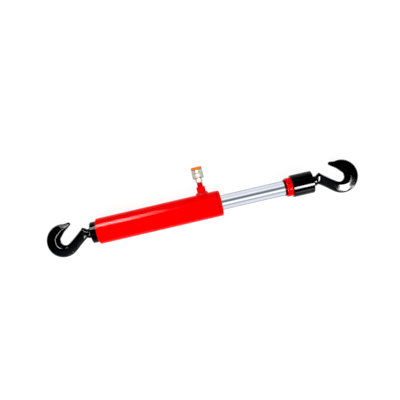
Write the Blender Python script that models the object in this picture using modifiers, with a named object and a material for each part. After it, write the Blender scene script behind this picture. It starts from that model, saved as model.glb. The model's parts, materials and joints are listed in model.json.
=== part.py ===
"""Single-acting hydraulic pull ram with a swivelling slip hook at each end.

Metres, +Z up. The ram lies on its barrel: +X runs from the rear hook to the rod end, +Y is the side of
the oil port, and the origin is under the middle of the barrel, on the surface that it rests on.
Most pieces are turned about the ram's axis. Their outlines are (radius, station) pairs, where a station
is a distance along +X from the middle of the barrel, or along +Y from the ram's axis for the port.
"""

import math

import bmesh
import bpy
from mathutils import Matrix

# Fits
GAP = 0.0003  # between pieces that touch or are screwed together
MERGE = 0.00001
LARGE_STEPS = 32  # sides of the large turned pieces
RING_STEPS = 24
SMALL_STEPS = 16
TINY_STEPS = 12

# Driving dimensions of the cylinder
BARREL_RADIUS = 0.030
BARREL_HALF_LENGTH = 0.145
BORE_RADIUS = 0.0225
THREAD_RADIUS = 0.025  # of both threaded ends of the barrel
ROD_RADIUS = 0.017
AXIS_HEIGHT = BARREL_RADIUS * math.cos(math.pi / LARGE_STEPS)

# Stations along the axis
GLAND_FACE = 0.1460
GLAND_SEAM = 0.1385
GLAND_INNER_END = 0.1133
GLAND_NOSE_END = 0.097
REAR_THREAD_END = -0.115
REAR_PLUG_FACE = -0.160
PISTON_REAR = 0.0667
PISTON_FRONT = GLAND_NOSE_END - GAP
ROD_REAR_END = 0.051
COLLAR_START = 0.2941
COLLAR_GROOVE = 0.2960
COLLAR_BAND = 0.2985
COLLAR_SHOULDER = 0.3115
HOUSING_FACE = 0.3605

# Gland, rear plug and rod end
FIT = 0.0004  # between a moving piece and the bore that guides it
NOSE_RADIUS = 0.0202
SPANNER_STATION = 0.1415
SPANNER_TURN = math.radians(-14.5)
LOCK_STATION = -0.131
LOCK_TURN = math.radians(-135)
LOCK_HOLE_RADIUS = 0.0028
CAVITY_RADIUS = 0.0175
VENT_RADIUS = 0.0205  # from the axis
COLLAR_RADIUS = 0.02175
SPIGOT_RADIUS = 0.0200
SPIGOT_LENGTH = 0.014
ROD_SPIGOT_RADIUS = 0.0150
HOUSING_RADIUS = 0.02575
SET_SCREW_STATION = 0.3048
SET_SCREW_TURN = math.radians(24.5)
SET_SCREW_RADIUS = 0.0023

# Piston
PISTON_RADIUS = 0.0221
PISTON_BORE = 0.0133

# Port
PORT_STATION = 0.107
PORT_HOLE_RADIUS = 0.004
BOSS_RADIUS = 0.0101
BOSS_FLOOR = 0.0360
BOSS_TOP = 0.0473
WELD_RADIUS = 0.0150
WELD_TOP = 0.0346
NIPPLE_RADIUS = 0.0066
NIPPLE_SPIGOT = 0.0044
NIPPLE_TOP = 0.0600
PASSAGE_RADIUS = 0.0022
HEX_START = 0.0570
HEX_END = 0.0661
HEX_CORNER = 0.0076
COUPLER_START = 0.0665
COUPLER_TOP = 0.0862
COUPLER_RADIUS = 0.0097
COUPLER_THREAD = 0.0080
SOCKET_RADIUS = 0.0070
SOCKET_FLOOR = 0.0740
VALVE_SEAT_END = 0.0737
POPPET_FOOT = 0.0685
COLLAR_BORE = 0.0100
CAP_RADIUS = 0.0128
CAP_RIM = 0.0868
CAP_TOP = 0.0929

# Hooks, measured outwards from the face that the hook turns in
STUD_RADIUS = 0.010
STUD_INNER_END = -0.032
END_WALL = 0.015
NUT_START = -0.0181
NUT_END = -0.0287
NUT_ACROSS_FLATS = 0.026
PIN_STATION = -0.0264
PIN_RADIUS = 0.0012
WASHER_RADIUS = 0.017

# Return spring
SPRING_RADIUS = 0.0201
SPRING_WIRE = 0.0016
SPRING_TURNS = 9.5
SPRING_REAR = REAR_THREAD_END + GAP
SPRING_FRONT = 0.0637
CLOSED_PITCH = 2.1  # pitch of a closed end turn, in wire radii

COLOURS = {
    # colour, roughness, metallic
    "red_paint": ((0.72, 0.01, 0.02, 1), 0.25, 0.0),
    "black_paint": ((0.02, 0.02, 0.022, 1), 0.3, 0.0),
    "chrome": ((0.85, 0.86, 0.88, 1), 0.08, 1.0),
    "zinc": ((0.78, 0.77, 0.72, 1), 0.25, 1.0),
    "steel": ((0.45, 0.45, 0.46, 1), 0.35, 1.0),
    "bronze": ((0.62, 0.42, 0.18, 1), 0.35, 1.0),
    "seal_rubber": ((0.03, 0.03, 0.03, 1), 0.7, 0.0),
    "seal_plastic": ((0.75, 0.74, 0.68, 1), 0.5, 0.0),
    "orange_plastic": ((0.95, 0.33, 0.03, 1), 0.4, 0.0),
}


def clear_scene():
    for old in list(bpy.data.objects):
        bpy.data.objects.remove(old, do_unlink=True)


def make_collection(name):
    collection = bpy.data.collections.new(name)
    bpy.context.scene.collection.children.link(collection)
    return collection


clear_scene()
PARTS = make_collection("hydraulic_pull_ram")
CUTTERS = make_collection("cutters")


def material_for(name, finish):
    colour, roughness, metallic = COLOURS[finish]
    material = bpy.data.materials.new(name + "_" + finish)
    material.use_nodes = True
    shader = material.node_tree.nodes["Principled BSDF"]
    shader.inputs["Base Color"].default_value = colour
    shader.inputs["Roughness"].default_value = roughness
    shader.inputs["Metallic"].default_value = metallic
    return material


def empty(name, location, rotation=(0, 0, 0)):
    frame = bpy.data.objects.new(name, None)
    frame.location = location
    frame.rotation_euler = rotation
    PARTS.objects.link(frame)
    return frame


def add_piece(name, mesh, finish, parent, location=(0, 0, 0), rotation=(0, 0, 0)):
    piece = bpy.data.objects.new(name, mesh)
    mesh.materials.append(material_for(name, finish))
    piece.parent = parent
    piece.location = location
    piece.rotation_euler = rotation
    PARTS.objects.link(piece)
    return piece


def smooth(mesh, angle=30):
    mesh.shade_smooth()
    mesh.set_sharp_from_angle(angle=math.radians(angle))


# Frames whose Z axis is the axis that their pieces are turned about
CYLINDER = empty("cylinder_axis", (0, 0, AXIS_HEIGHT), (0, math.radians(90), 0))
ROD = empty("rod_axis", (0, 0, AXIS_HEIGHT), (0, math.radians(90), 0))
PORT = empty("port_axis", (PORT_STATION, 0, AXIS_HEIGHT), (math.radians(-90), 0, 0))
FRONT_SWIVEL = empty("front_swivel_axis", (HOUSING_FACE, 0, AXIS_HEIGHT))
REAR_SWIVEL = empty("rear_swivel_axis", (REAR_PLUG_FACE, 0, AXIS_HEIGHT), (0, math.radians(180), 0))


def turned(name, outline, finish, parent, steps=RING_STEPS):
    """A turned piece. The outline starts at the top of the outer side and runs down it; an outline
    that starts on the axis is solid, and any other is a closed ring."""
    mesh = bpy.data.meshes.new(name)
    solid = outline[0][0] == 0
    last = len(outline)
    edges = [(i, i + 1) for i in range(last - 1)]
    if not solid:
        edges.append((last - 1, 0))
    mesh.from_pydata([(radius, 0, station) for radius, station in outline], edges, [])
    piece = add_piece(name, mesh, finish, parent, rotation=(0, 0, math.pi / steps))
    screw = piece.modifiers.new("turn", "SCREW")
    screw.axis = "Z"
    screw.angle = math.tau
    screw.steps = steps
    screw.render_steps = steps
    screw.use_merge_vertices = True
    screw.merge_threshold = MERGE
    return piece


def ring(inner, outer, low, high):
    """The outline of a plain ring."""
    return [(outer, high), (outer, low), (inner, low), (inner, high)]


def round_ring(middle_radius, wire_radius, station, sides=6):
    """The outline of a ring with a round section."""
    turns = [math.tau * (0.5 - i) / sides for i in range(sides)]
    return [
        (middle_radius + wire_radius * math.cos(turn), station + wire_radius * math.sin(turn))
        for turn in turns
    ]


def cylinder_mesh(name, radius, depth, steps=TINY_STEPS):
    """A closed cylinder that stands on its local origin."""
    mesh = bpy.data.meshes.new(name)
    shape = bmesh.new()
    bmesh.ops.create_cone(
        shape, cap_ends=True, segments=steps, radius1=radius, radius2=radius, depth=depth
    )
    bmesh.ops.translate(shape, verts=shape.verts, vec=(0, 0, depth / 2))
    shape.to_mesh(mesh)
    shape.free()
    return mesh


def box_mesh(name, size):
    mesh = bpy.data.meshes.new(name)
    shape = bmesh.new()
    bmesh.ops.create_cube(shape, size=1)
    bmesh.ops.scale(shape, verts=shape.verts, vec=size)
    shape.to_mesh(mesh)
    shape.free()
    return mesh


def add_cutter(name, mesh, parent, location=(0, 0, 0), rotation=(0, 0, 0)):
    cutter = bpy.data.objects.new(name, mesh)
    cutter.parent = parent
    cutter.location = location
    cutter.rotation_euler = rotation
    cutter.hide_render = True
    cutter.display_type = "WIRE"
    CUTTERS.objects.link(cutter)
    return cutter


def cut(piece, cutter):
    boolean = piece.modifiers.new("cut_" + cutter.name, "BOOLEAN")
    boolean.operation = "DIFFERENCE"
    boolean.solver = "EXACT"
    boolean.object = cutter


def radial_place(station, radius, turn):
    """Where a radial hole starts on a frame whose Z is the turning axis, and the rotation that points
    local Z outwards. turn is measured from straight up towards the port side."""
    angle = math.pi - turn
    location = (radius * math.cos(angle), radius * math.sin(angle), station)
    return location, (0, math.radians(90), angle)


def grub_screw(name, finish, parent, station, turn, low, high, radius):
    """A socket set screw that lies radially between two radii, with its hexagon socket outwards."""
    location, rotation = radial_place(station, low, turn)
    screw = add_piece(
        name, cylinder_mesh(name, radius, high - low), finish, parent, location, rotation
    )
    socket_depth = (high - low) / 2
    location, rotation = radial_place(station, high - socket_depth, turn)
    socket = cylinder_mesh(name + "_socket", radius * 0.55, socket_depth * 2, 6)
    cut(screw, add_cutter(name + "_socket", socket, parent, location, rotation))
    return screw


def radial_hole(piece, parent, station, turn, low, high, radius):
    location, rotation = radial_place(station, low, turn)
    name = piece.name + "_hole_" + str(len(piece.modifiers))
    mesh = cylinder_mesh(name, radius, high - low)
    cut(piece, add_cutter(name, mesh, parent, location, rotation))


# Cylinder barrel, its end pieces and their seals


def make_barrel():
    chamfer = 0.0012
    front = GLAND_SEAM - GAP
    rear = -BARREL_HALF_LENGTH
    outline = [
        (BARREL_RADIUS, front),
        (BARREL_RADIUS, rear + chamfer),
        (BARREL_RADIUS - chamfer, rear),
        (THREAD_RADIUS, rear),
        (THREAD_RADIUS, REAR_THREAD_END),
        (BORE_RADIUS, REAR_THREAD_END),
        (BORE_RADIUS, GLAND_INNER_END - GAP),
        (THREAD_RADIUS, GLAND_INNER_END - GAP),
        (THREAD_RADIUS, front),
    ]
    barrel = turned("cylinder_barrel", outline, "red_paint", CYLINDER, LARGE_STEPS)
    oil_hole = cylinder_mesh("oil_hole", PORT_HOLE_RADIUS, 0.015, SMALL_STEPS)
    cut(barrel, add_cutter("oil_hole", oil_hole, PORT, (0, 0, 0.018)))
    radial_hole(
        barrel, CYLINDER, LOCK_STATION, LOCK_TURN, BORE_RADIUS, BARREL_RADIUS * 1.1, LOCK_HOLE_RADIUS
    )


def make_rear_plug():
    outer = THREAD_RADIUS - GAP
    bore = STUD_RADIUS + FIT
    inner_face = REAR_THREAD_END - GAP
    outline = [
        (outer, inner_face),
        (outer, REAR_PLUG_FACE + 0.0010),
        (outer - 0.0010, REAR_PLUG_FACE),
        (bore + 0.0010, REAR_PLUG_FACE),
        (bore, REAR_PLUG_FACE + 0.0010),
        (bore, REAR_PLUG_FACE + END_WALL),
        (CAVITY_RADIUS, REAR_PLUG_FACE + END_WALL),
        (CAVITY_RADIUS, inner_face),
    ]
    plug = turned("rear_end_plug", outline, "black_paint", CYLINDER, LARGE_STEPS)
    vent_place = (0, -VENT_RADIUS, REAR_PLUG_FACE - 0.005)
    vent = cylinder_mesh("vent_passage", 0.0012, 0.06)
    cut(plug, add_cutter("vent_passage", vent, CYLINDER, vent_place))
    breather_radius = 0.0017
    seat = cylinder_mesh("breather_seat", breather_radius + GAP, 0.011, SMALL_STEPS)
    cut(plug, add_cutter("breather_seat", seat, CYLINDER, vent_place))
    screw_low = 0.0218
    radial_hole(
        plug, CYLINDER, LOCK_STATION, LOCK_TURN, screw_low - GAP, THREAD_RADIUS * 1.1, LOCK_HOLE_RADIUS
    )
    grub_screw(
        "rear_plug_lock_screw", "steel", CYLINDER, LOCK_STATION, LOCK_TURN,
        screw_low, BARREL_RADIUS - 0.0010, LOCK_HOLE_RADIUS - GAP,
    )
    breather = [
        (0, REAR_PLUG_FACE + 0.0055),
        (breather_radius, REAR_PLUG_FACE + 0.0055),
        (breather_radius, REAR_PLUG_FACE),
        (breather_radius - 0.0005, REAR_PLUG_FACE - 0.0005),
        (0, REAR_PLUG_FACE - 0.0005),
    ]
    plug_piece = turned("breather_plug", breather, "bronze", CYLINDER, TINY_STEPS)
    plug_piece.location = (0, -VENT_RADIUS, 0)


def make_gland():
    thread = THREAD_RADIUS - GAP
    bore = ROD_RADIUS + FIT
    o_ring_groove = 0.0222
    bearing_groove = 0.0200
    seal_groove = 0.0210
    wiper_groove = 0.0205
    outline = [
        (BARREL_RADIUS - 0.0026, GLAND_FACE),
        (BARREL_RADIUS - 0.0010, GLAND_FACE - 0.0010),
        (BARREL_RADIUS, GLAND_FACE - 0.0032),
        (BARREL_RADIUS, GLAND_SEAM),
        (thread, GLAND_SEAM),
        (thread, 0.1195),
        (o_ring_groove, 0.1195),
        (o_ring_groove, 0.1160),
        (thread, 0.1160),
        (thread, GLAND_INNER_END),
        (NOSE_RADIUS, GLAND_INNER_END),
        (NOSE_RADIUS, GLAND_NOSE_END),
        (bore, GLAND_NOSE_END),
        (bore, 0.1140),
        (bearing_groove, 0.1140),
        (bearing_groove, 0.1260),
        (bore, 0.1260),
        (bore, 0.1275),
        (seal_groove, 0.1275),
        (seal_groove, 0.1330),
        (bore, 0.1330),
        (bore, 0.1385),
        (wiper_groove, 0.1385),
        (wiper_groove, GLAND_FACE),
    ]
    gland = turned("gland_nut", outline, "red_paint", CYLINDER, LARGE_STEPS)
    hole_radius = 0.0018
    screw_low = 0.0243
    radial_hole(
        gland, CYLINDER, SPANNER_STATION, SPANNER_TURN, screw_low - GAP, BARREL_RADIUS * 1.1, hole_radius
    )
    grub_screw(
        "gland_lock_screw", "steel", CYLINDER, SPANNER_STATION, SPANNER_TURN,
        screw_low, BARREL_RADIUS - 0.0010, hole_radius - GAP,
    )


def make_gland_seals():
    inner = ROD_RADIUS + GAP
    turned("gland_o_ring", round_ring(0.02355, 0.00100, 0.1174), "seal_rubber", CYLINDER)
    turned("gland_backup_ring", ring(0.0225, 0.0246, 0.1187, 0.1192), "seal_plastic", CYLINDER)
    turned("rod_bearing_sleeve", ring(inner, 0.0197, 0.1143, 0.1257), "bronze", CYLINDER)
    rod_seal = [
        (0.0207, 0.1327),
        (0.0207, 0.1278),
        (0.0196, 0.1278),
        (0.0190, 0.1296),
        (0.0184, 0.1278),
        (inner, 0.1278),
        (inner, 0.1327),
    ]
    turned("rod_seal", rod_seal, "seal_rubber", CYLINDER)
    wiper = [
        (0.0186, 0.1468),
        (0.0188, 0.1456),
        (0.0202, 0.1452),
        (0.0202, 0.1388),
        (inner, 0.1388),
        (inner, 0.1468),
    ]
    turned("rod_wiper", wiper, "seal_rubber", CYLINDER)


# Rod, piston and return spring


def make_rod():
    spigot_end = COLLAR_SHOULDER - GAP
    shoulder = COLLAR_GROOVE - GAP
    outline = [
        (0, spigot_end),
        (ROD_SPIGOT_RADIUS - 0.0008, spigot_end),
        (ROD_SPIGOT_RADIUS, spigot_end - 0.0008),
        (ROD_SPIGOT_RADIUS, shoulder),
        (ROD_RADIUS, shoulder),
        (ROD_RADIUS, PISTON_FRONT + GAP),
        (0.0130, PISTON_FRONT + GAP),
        (0.0130, PISTON_REAR),
        (0.0120, PISTON_REAR),
        (0.0120, ROD_REAR_END + 0.001),
        (0.0110, ROD_REAR_END),
        (0, ROD_REAR_END),
    ]
    turned("piston_rod", outline, "chrome", ROD, LARGE_STEPS)


def make_piston():
    seal_groove = 0.0195
    guide_groove = 0.0203
    o_ring_groove = 0.0150
    outline = [
        (PISTON_RADIUS - 0.001, PISTON_FRONT),
        (PISTON_RADIUS, PISTON_FRONT - 0.001),
        (PISTON_RADIUS, 0.0900),
        (seal_groove, 0.0900),
        (seal_groove, 0.0820),
        (PISTON_RADIUS, 0.0820),
        (PISTON_RADIUS, 0.0760),
        (guide_groove, 0.0760),
        (guide_groove, 0.0700),
        (PISTON_RADIUS, 0.0700),
        (PISTON_RADIUS, PISTON_REAR),
        (PISTON_BORE, PISTON_REAR),
        (PISTON_BORE, 0.0920),
        (o_ring_groove, 0.0920),
        (o_ring_groove, 0.0943),
        (PISTON_BORE, 0.0943),
        (PISTON_BORE, PISTON_FRONT),
    ]
    turned("piston", outline, "steel", ROD, LARGE_STEPS)
    seal = [
        (0.0222, 0.0894),
        (0.0222, 0.0843),
        (0.0198, 0.0843),
        (0.0198, 0.0894),
        (0.0200, 0.0894),
        (0.0211, 0.0878),
    ]
    turned("piston_seal", seal, "seal_rubber", ROD)
    turned("piston_backup_ring", ring(0.0198, 0.0221, 0.0823, 0.0840), "seal_plastic", ROD)
    turned("piston_guide_ring", ring(0.0206, 0.0222, 0.0703, 0.0757), "bronze", ROD)
    turned("piston_rod_o_ring", round_ring(0.01400, 0.00065, 0.09315), "seal_rubber", ROD)


def hex_nut(name, finish, parent, across_flats, low, high, bore, rotation=(0, 0, 0), location=None):
    """A hexagon nut between two distances along its parent's local axis, with a plain bore."""
    mesh = cylinder_mesh(name, across_flats / math.sqrt(3), high - low, 6)
    place = location or (0, 0, low)
    nut = add_piece(name, mesh, finish, parent, place, rotation)
    drill = cylinder_mesh(name + "_bore", bore, (high - low) * 3, RING_STEPS)
    middle = Matrix.Translation((0, 0, low - high))
    drill.transform(middle)
    cut(nut, add_cutter(name + "_bore", drill, parent, place, rotation))
    return nut


def make_piston_nut():
    hex_nut("piston_nut", "steel", ROD, 0.0290, 0.0555, PISTON_REAR - GAP, 0.0124)


def make_spring_seat():
    turned("spring_seat_ring", ring(0.0182, 0.0219, 0.0640, PISTON_REAR - GAP), "bronze", ROD)


def coil(name, radius, wire, turns, low, high, closed_turns, points_per_turn, parent, finish):
    """A coil spring with closed end turns, wound about its parent's Z axis from low to high."""
    count = int(turns * points_per_turn) + 1
    rise = (high - low - 2 * wire) - 2 * closed_turns * CLOSED_PITCH * wire
    curve = bpy.data.curves.new(name, "CURVE")
    curve.dimensions = "3D"
    curve.bevel_depth = wire
    curve.bevel_resolution = 2
    curve.use_fill_caps = True
    spline = curve.splines.new("POLY")
    spline.points.add(count - 1)
    for i in range(count):
        turn = i / points_per_turn
        lower = min(turn, closed_turns) * CLOSED_PITCH * wire
        upper = max(turn - (turns - closed_turns), 0) * CLOSED_PITCH * wire
        share = min(max((turn - closed_turns) / (turns - 2 * closed_turns), 0), 1)
        angle = math.tau * turn
        station = low + wire + lower + upper + rise * share
        spline.points[i].co = (radius * math.cos(angle), radius * math.sin(angle), station, 1)
    curve.materials.append(material_for(name, finish))
    spring = bpy.data.objects.new(name, curve)
    spring.parent = parent
    PARTS.objects.link(spring)


def make_return_spring():
    coil(
        "return_spring", SPRING_RADIUS, SPRING_WIRE, SPRING_TURNS, SPRING_REAR, SPRING_FRONT,
        1.0, 12, CYLINDER, "steel",
    )


# Rod end: collar, set screws and swivel housing


def make_rod_end_collar():
    """A collar screwed on the rod: a thin lip, a groove, and the band that holds the set screws."""
    lip = 0.0188
    groove = 0.0178
    rod_seat = ROD_RADIUS + GAP
    spigot_seat = ROD_SPIGOT_RADIUS + GAP
    spigot_end = COLLAR_SHOULDER + SPIGOT_LENGTH
    outline = [
        (0, spigot_end),
        (SPIGOT_RADIUS - 0.001, spigot_end),
        (SPIGOT_RADIUS, spigot_end - 0.001),
        (SPIGOT_RADIUS, COLLAR_SHOULDER),
        (COLLAR_RADIUS, COLLAR_SHOULDER),
        (COLLAR_RADIUS, COLLAR_BAND),
        (groove, COLLAR_BAND),
        (groove, COLLAR_GROOVE),
        (lip, COLLAR_GROOVE),
        (lip, COLLAR_START + 0.0008),
        (lip - 0.0008, COLLAR_START),
        (rod_seat, COLLAR_START),
        (rod_seat, COLLAR_GROOVE),
        (spigot_seat, COLLAR_GROOVE),
        (spigot_seat, COLLAR_SHOULDER),
        (0, COLLAR_SHOULDER),
    ]
    collar = turned("rod_end_collar", outline, "red_paint", ROD, LARGE_STEPS)
    hole_radius = SET_SCREW_RADIUS + GAP
    screw_top = 0.0197
    names = {"collar_set_screw": SET_SCREW_TURN, "collar_set_screw_rear": SET_SCREW_TURN + math.pi}
    for name, turn in names.items():
        radial_hole(
            collar, ROD, SET_SCREW_STATION, turn, ROD_SPIGOT_RADIUS - GAP, COLLAR_RADIUS * 1.1, hole_radius
        )
        grub_screw(
            name, "steel", ROD, SET_SCREW_STATION, turn, spigot_seat, screw_top, SET_SCREW_RADIUS
        )


def make_swivel_housing():
    outer = HOUSING_RADIUS
    bore = SPIGOT_RADIUS + GAP
    rear = COLLAR_SHOULDER + GAP
    outline = [
        (outer - 0.0010, HOUSING_FACE),
        (outer, HOUSING_FACE - 0.0010),
        (outer, rear + 0.0008),
        (outer - 0.0008, rear),
        (bore, rear),
        (bore, HOUSING_FACE - END_WALL),
        (STUD_RADIUS + FIT, HOUSING_FACE - END_WALL),
        (STUD_RADIUS + FIT, HOUSING_FACE - 0.001),
        (STUD_RADIUS + FIT + 0.001, HOUSING_FACE),
    ]
    turned("front_swivel_housing", outline, "black_paint", ROD, LARGE_STEPS)


# Hooks. A hook is lofted through stations, each a closed section between a point on the inner edge and
# a point on the outer edge of the hook, in the plane of the hook.

HOOK_SIDES = 16
ROUND_SECTION = [
    (0.5 - 0.5 * math.cos(math.pi * (k + 0.5) / 8), math.sin(math.pi * (k + 0.5) / 8))
    for k in range(8)
]
# Half of the forged section, as (share of the width from the inner edge, share of the half thickness):
# a narrow inner edge, a slope up to a ridge and a face that falls slowly towards a blunt outer edge.
FORGED_SECTION = [
    (0.0, 0.30), (0.05, 0.56), (0.12, 0.76), (0.20, 0.92),
    (0.30, 1.0), (0.60, 0.90), (0.88, 0.79), (1.0, 0.25),
]
BOWL_CENTRE = (0.0637, -0.0022)
BOWL_RADIUS = 0.0121
BACK_CENTRE = (0.0687, -0.0027)
BACK_RADIUS = 0.0384
SADDLE_HALF_ANGLE = 18  # degrees: the flat of the bowl that a link bears on spans both sides of zero


def on_circle(centre, radius, degrees):
    turn = math.radians(degrees)
    return (centre[0] + radius * math.cos(turn), centre[1] + radius * math.sin(turn))


def hook_stations():
    """(inner point, outer point, half thickness, how far the section is forged rather than round)."""
    stations = [
        ((STUD_INNER_END, 0.0092), (STUD_INNER_END, -0.0092), 0.0092, 0),
        ((STUD_INNER_END + 0.0008, 0.0100), (STUD_INNER_END + 0.0008, -0.0100), 0.0100, 0),
        ((0.0030, 0.0100), (0.0030, -0.0100), 0.0100, 0),
        ((0.0038, 0.0112), (0.0038, -0.0112), 0.0112, 0),
        ((0.0086, 0.0111), (0.0086, -0.0111), 0.0110, 0),
        ((0.0104, 0.0113), (0.0098, -0.0106), 0.0106, 0.1),
        ((0.0140, 0.0139), (0.0128, -0.0094), 0.0102, 0.4),
        ((0.0182, 0.0168), (0.0150, -0.0096), 0.0104, 0.8),
        ((0.0200, 0.0157), (0.0168, -0.0108), 0.0105, 0.95),
        ((0.0250, 0.0117), (0.0195, -0.0128), 0.0105, 1),
        ((0.0330, 0.0053), (0.0250, -0.0168), 0.0105, 1),
        ((0.0450, -0.0042), (0.0350, -0.0248), 0.0107, 1),
    ]
    for angle in (-127, -108, -90, -72, -54, -36, -SADDLE_HALF_ANGLE, 0, SADDLE_HALF_ANGLE, 36, 54):
        inner = on_circle(BOWL_CENTRE, BOWL_RADIUS, angle)
        if abs(angle) < SADDLE_HALF_ANGLE:
            inner = (on_circle(BOWL_CENTRE, BOWL_RADIUS, SADDLE_HALF_ANGLE)[0], inner[1])
        outer = on_circle(BACK_CENTRE, BACK_RADIUS, angle)
        half = 0.0110 - 0.0012 * max(angle, 0) / 54
        stations.append((inner, outer, half, 1))
    tip = [
        ((0.0634, 0.0160), 72, 0.0088),
        ((0.0565, 0.0212), 90, 0.0076),
        ((0.0510, 0.0252), 104, 0.0062),
    ]
    for inner, angle, half in tip:
        stations.append((inner, on_circle(BACK_CENTRE, BACK_RADIUS, angle), half, 1))
    stations.append(((0.0466, 0.0284), (0.0506, 0.0358), 0.0046, 0.7))
    stations.append(((0.0452, 0.0304), (0.0461, 0.0346), 0.0024, 0.3))
    return stations


def hook_section(station):
    """The section's corners in order round it, in the hook's own frame: X outwards, Y to the mouth."""
    inner, outer, half, forged = station
    corners = []
    for side in (1, -1):
        order = range(HOOK_SIDES // 2) if side == 1 else reversed(range(HOOK_SIDES // 2))
        for k in order:
            share = ROUND_SECTION[k][0] * (1 - forged) + FORGED_SECTION[k][0] * forged
            height = ROUND_SECTION[k][1] * (1 - forged) + FORGED_SECTION[k][1] * forged
            x = inner[0] + (outer[0] - inner[0]) * share
            y = inner[1] + (outer[1] - inner[1]) * share
            corners.append((x, y, side * half * height))
    return corners


def hook_mesh():
    mesh = bpy.data.meshes.new("hook")
    shape = bmesh.new()
    loops = [[shape.verts.new(c) for c in hook_section(s)] for s in hook_stations()]
    for here, there in zip(loops, loops[1:]):
        for k in range(HOOK_SIDES):
            after = (k + 1) % HOOK_SIDES
            shape.faces.new((here[k], here[after], there[after], there[k]))
    shape.faces.new(loops[0])
    shape.faces.new(loops[-1])
    bmesh.ops.recalc_face_normals(shape, faces=shape.faces)
    shape.to_mesh(mesh)
    shape.free()
    return mesh


def make_hook(end, frame):
    """A hook with its thrust washer, castle nut and split pin, all turning about the frame's X axis."""
    along = (0, math.radians(90), 0)
    hook = add_piece(end + "_hook", hook_mesh(), "black_paint", frame)
    pin_hole = cylinder_mesh(end + "_pin_hole", PIN_RADIUS + GAP, 0.040)
    cut(hook, add_cutter(end + "_pin_hole", pin_hole, frame, (PIN_STATION, 0, -0.020)))
    washer = turned(
        end + "_thrust_washer", ring(STUD_RADIUS + FIT, WASHER_RADIUS, NUT_START + GAP, -END_WALL - GAP),
        "bronze", frame,
    )
    washer.rotation_euler = along
    nut = hex_nut(
        end + "_hook_nut", "steel", frame, NUT_ACROSS_FLATS, NUT_END, NUT_START,
        STUD_RADIUS + GAP, along, (NUT_END, 0, 0),
    )
    slot_depth = 0.0045
    for i in range(3):
        slot = box_mesh(end + "_nut_slot", (slot_depth * 2, 0.0032, 0.040))
        turn = math.radians(60 * i)
        cut(nut, add_cutter(end + "_nut_slot_" + str(i), slot, frame, (NUT_END, 0, 0), (turn, 0, 0)))
    make_split_pin(end, frame)


def make_split_pin(end, frame):
    """A bent cotter through the stud: a straight shank with both ends turned back over the nut."""
    reach = 0.0146
    bend = 0.0012
    route = [
        (PIN_STATION - 0.0040, 0, reach),
        (PIN_STATION - bend, 0, reach),
        (PIN_STATION, 0, reach - bend),
        (PIN_STATION, 0, -reach + bend),
        (PIN_STATION - bend, 0, -reach),
        (PIN_STATION - 0.0040, 0, -reach),
    ]
    curve = bpy.data.curves.new(end + "_hook_split_pin", "CURVE")
    curve.dimensions = "3D"
    curve.bevel_depth = PIN_RADIUS
    curve.bevel_resolution = 2
    curve.use_fill_caps = True
    spline = curve.splines.new("POLY")
    spline.points.add(len(route) - 1)
    for point, place in zip(spline.points, route):
        point.co = (*place, 1)
    curve.materials.append(material_for(end + "_hook_split_pin", "steel"))
    pin = bpy.data.objects.new(end + "_hook_split_pin", curve)
    pin.parent = frame
    PARTS.objects.link(pin)


# Oil port, quick coupler and dust cap


def make_port():
    saddle = cylinder_mesh("barrel_saddle", BARREL_RADIUS + GAP, 0.08, LARGE_STEPS)
    saddle_cutter = add_cutter(
        "barrel_saddle", saddle, CYLINDER, (0, 0, PORT_STATION - 0.04), (0, 0, math.pi / LARGE_STEPS)
    )
    boss_outline = [
        (BOSS_RADIUS - 0.0010, BOSS_TOP),
        (BOSS_RADIUS, BOSS_TOP - 0.0010),
        (BOSS_RADIUS, 0.0260),
        (PORT_HOLE_RADIUS, 0.0260),
        (PORT_HOLE_RADIUS, BOSS_FLOOR),
        (NIPPLE_RADIUS + GAP, BOSS_FLOOR),
        (NIPPLE_RADIUS + GAP, BOSS_TOP),
    ]
    boss = turned("port_boss", boss_outline, "red_paint", PORT, SMALL_STEPS)
    cut(boss, saddle_cutter)
    weld_inner = BOSS_RADIUS + GAP
    weld_outline = [
        (weld_inner + 0.0006, WELD_TOP),
        (weld_inner + 0.0022, WELD_TOP - 0.0014),
        (WELD_RADIUS - 0.0012, 0.0308),
        (WELD_RADIUS, 0.0285),
        (WELD_RADIUS, 0.0220),
        (weld_inner, 0.0220),
        (weld_inner, WELD_TOP),
    ]
    weld = turned("port_weld_bead", weld_outline, "red_paint", PORT, RING_STEPS)
    cut(weld, saddle_cutter)


def make_nipple():
    outline = [
        (NIPPLE_SPIGOT, NIPPLE_TOP),
        (NIPPLE_SPIGOT, HEX_START - GAP),
        (NIPPLE_RADIUS, HEX_START - GAP),
        (NIPPLE_RADIUS, BOSS_FLOOR + GAP),
        (PASSAGE_RADIUS, BOSS_FLOOR + GAP),
        (PASSAGE_RADIUS, NIPPLE_TOP),
    ]
    turned("port_nipple", outline, "red_paint", PORT, SMALL_STEPS)


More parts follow.
